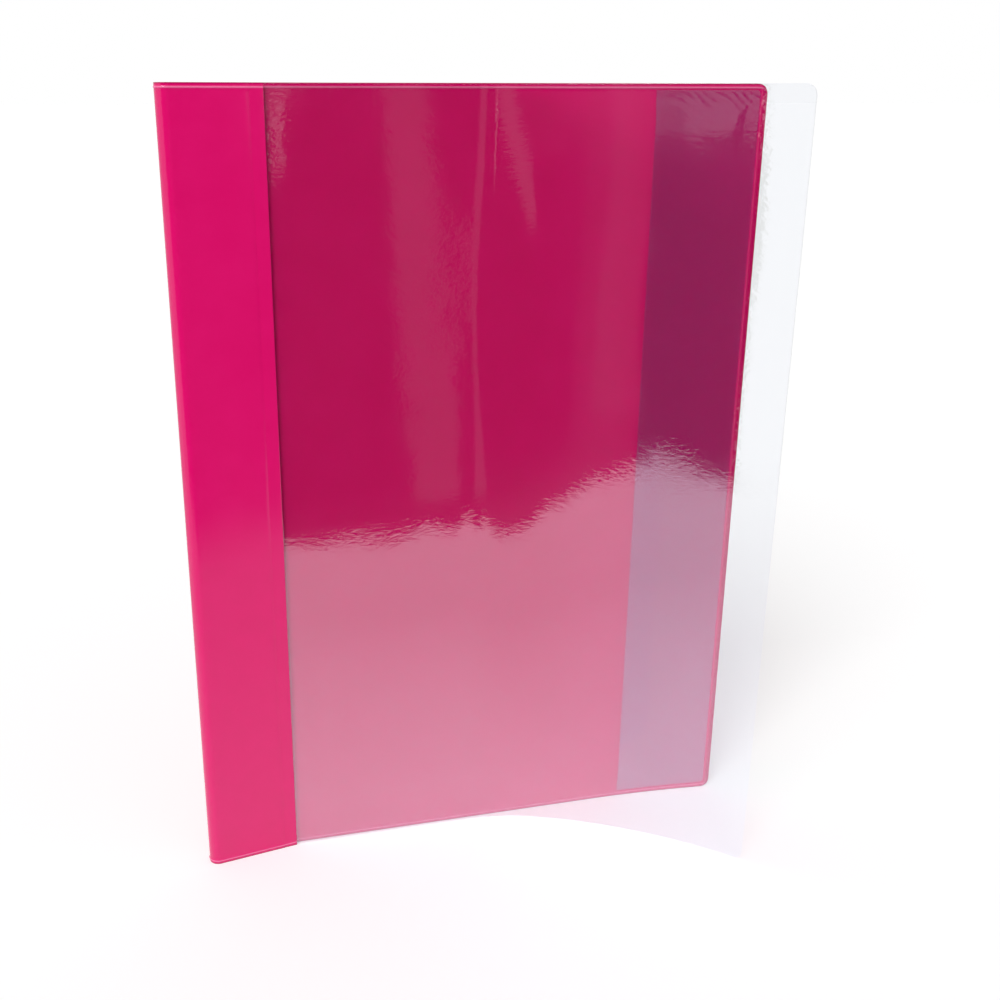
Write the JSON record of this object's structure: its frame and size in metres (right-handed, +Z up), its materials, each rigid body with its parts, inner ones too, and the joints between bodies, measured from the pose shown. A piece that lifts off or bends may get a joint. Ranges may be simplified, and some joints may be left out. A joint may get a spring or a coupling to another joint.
{
  "type": "clear file folder",
  "caption": "Report folder for A4 sheets: folded opaque cover with a binding strip, a clear hinged front cover and a clear side pocket inside the back cover.",
  "frame": {"origin": "centre of the bounding box's bottom, on the surface that the folder stands on", "axes": "+X along the back cover from the spine to its free edge, +Y towards the back cover's outside, +Z up along the spine"},
  "size_m": [0.23, 0.0594, 0.31],
  "materials": {
    "opaque_plastic": "satin magenta sheet with a fine embossed grain",
    "clear_film": "glossy clear film with soft ripples",
    "pocket_film": "glossy, slightly hazy clear film"
  },
  "bodies": {
    "back": {"cover_sheet": "opaque_plastic", "inside_pocket": "pocket_film"},
    "front": {"clear_front": "clear_film"}
  },
  "joints": [
    {"name": "front_cover_hinge", "type": "hinge", "parent": "back", "child": "front", "pos_m": [-0.07753, 0.02713, 0.155], "axis": [0, 0, -1], "range_deg": [0, 150]}
  ]
}
